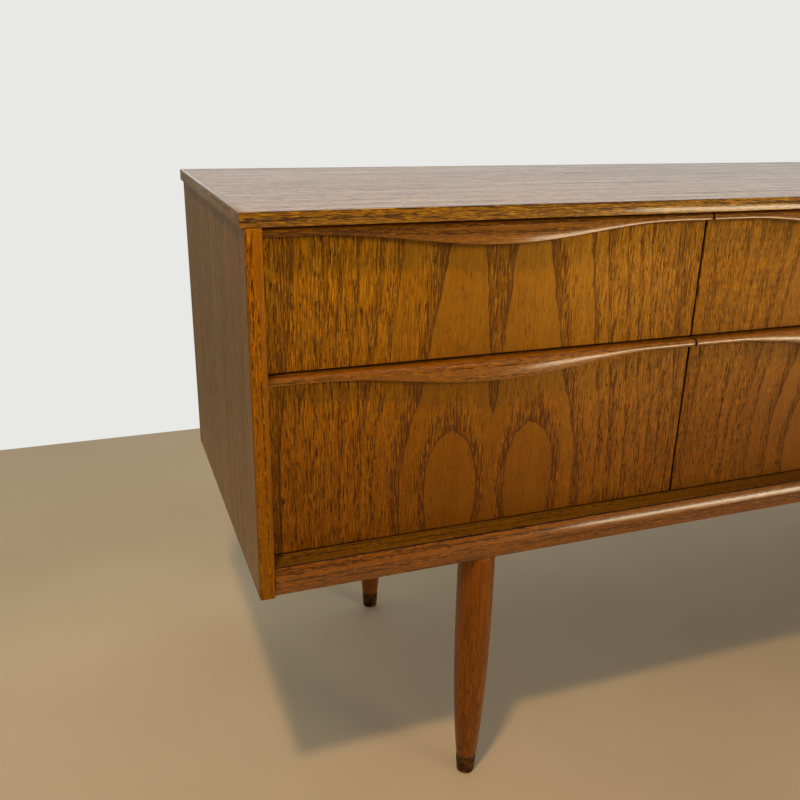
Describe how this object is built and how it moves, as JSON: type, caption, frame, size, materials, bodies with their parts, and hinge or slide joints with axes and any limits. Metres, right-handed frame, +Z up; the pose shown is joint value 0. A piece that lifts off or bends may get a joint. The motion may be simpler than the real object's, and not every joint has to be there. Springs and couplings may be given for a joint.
{
  "type": "long low dresser with drawers",
  "caption": "Long low teak dresser with stacked drawers, wavy full-width lip pulls, and swelled round legs in brass ferrules.",
  "frame": {"origin": "on the floor under the middle of the bounding box", "axes": "+X along the length, to the right seen from the front; +Y from the drawer fronts to the back; +Z up"},
  "size_m": [1.4436, 0.422, 0.66],
  "materials": {
    "teak_veneer": "oiled teak veneer, straight grain, greyed by light",
    "teak_front": "satin teak veneer, book-matched crown-cut grain",
    "teak_solid": "satin solid teak, rounded and hand-worn",
    "teak_leg": "satin stained hardwood, turned",
    "drawer_wood": "bare sanded beech",
    "plywood": "bare thin plywood",
    "aged_brass": "tarnished brass, rubbed bright at the rim"
  },
  "bodies": {
    "case": {"top_board": "teak_veneer", "left_side_panel": "teak_veneer", "right_side_panel": "teak_veneer", "bottom_board": "teak_veneer", "back_panel": "plywood", "left_divider": "drawer_wood", "right_divider": "drawer_wood", "left_column_left_runner": "drawer_wood", "left_column_right_runner": "drawer_wood", "middle_column_left_runner": "drawer_wood", "middle_column_right_runner": "drawer_wood", "right_column_left_runner": "drawer_wood", "right_column_right_runner": "drawer_wood", "front_rail": "teak_solid", "back_rail": "teak_solid", "rail_lipping": "teak_solid", "front_left_leg": "teak_leg", "front_left_ferrule": "aged_brass", "front_right_leg": "teak_leg", "front_right_ferrule": "aged_brass", "back_left_leg": "teak_leg", "back_left_ferrule": "aged_brass", "back_right_leg": "teak_leg", "back_right_ferrule": "aged_brass"},
    "upper_left_drawer": {"upper_left_drawer_front": "teak_front", "upper_left_drawer_lip": "teak_solid", "upper_left_drawer_left_side": "drawer_wood", "upper_left_drawer_right_side": "drawer_wood", "upper_left_drawer_back": "drawer_wood", "upper_left_drawer_bottom": "plywood"},
    "upper_middle_drawer": {"upper_middle_drawer_front": "teak_front", "upper_middle_drawer_lip": "teak_solid", "upper_middle_drawer_left_side": "drawer_wood", "upper_middle_drawer_right_side": "drawer_wood", "upper_middle_drawer_back": "drawer_wood", "upper_middle_drawer_bottom": "plywood"},
    "upper_right_drawer": {"upper_right_drawer_front": "teak_front", "upper_right_drawer_lip": "teak_solid", "upper_right_drawer_left_side": "drawer_wood", "upper_right_drawer_right_side": "drawer_wood", "upper_right_drawer_back": "drawer_wood", "upper_right_drawer_bottom": "plywood"},
    "lower_left_drawer": {"lower_left_drawer_front": "teak_front", "lower_left_drawer_lip": "teak_solid", "lower_left_drawer_left_side": "drawer_wood", "lower_left_drawer_right_side": "drawer_wood", "lower_left_drawer_back": "drawer_wood", "lower_left_drawer_bottom": "plywood"},
    "lower_middle_drawer": {"lower_middle_drawer_front": "teak_front", "lower_middle_drawer_lip": "teak_solid", "lower_middle_drawer_left_side": "drawer_wood", "lower_middle_drawer_right_side": "drawer_wood", "lower_middle_drawer_back": "drawer_wood", "lower_middle_drawer_bottom": "plywood"},
    "lower_right_drawer": {"lower_right_drawer_front": "teak_front", "lower_right_drawer_lip": "teak_solid", "lower_right_drawer_left_side": "drawer_wood", "lower_right_drawer_right_side": "drawer_wood", "lower_right_drawer_back": "drawer_wood", "lower_right_drawer_bottom": "plywood"}
  },
  "joints": [
    {"name": "upper_left_slide", "type": "slide", "parent": "case", "child": "upper_left_drawer", "axis": [0, -1, 0], "range_m": [0, 0.28]},
    {"name": "upper_middle_slide", "type": "slide", "parent": "case", "child": "upper_middle_drawer", "axis": [0, -1, 0], "range_m": [0, 0.28]},
    {"name": "upper_right_slide", "type": "slide", "parent": "case", "child": "upper_right_drawer", "axis": [0, -1, 0], "range_m": [0, 0.28]},
    {"name": "lower_left_slide", "type": "slide", "parent": "case", "child": "lower_left_drawer", "axis": [0, -1, 0], "range_m": [0, 0.28]},
    {"name": "lower_middle_slide", "type": "slide", "parent": "case", "child": "lower_middle_drawer", "axis": [0, -1, 0], "range_m": [0, 0.28]},
    {"name": "lower_right_slide", "type": "slide", "parent": "case", "child": "lower_right_drawer", "axis": [0, -1, 0], "range_m": [0, 0.28]}
  ]
}
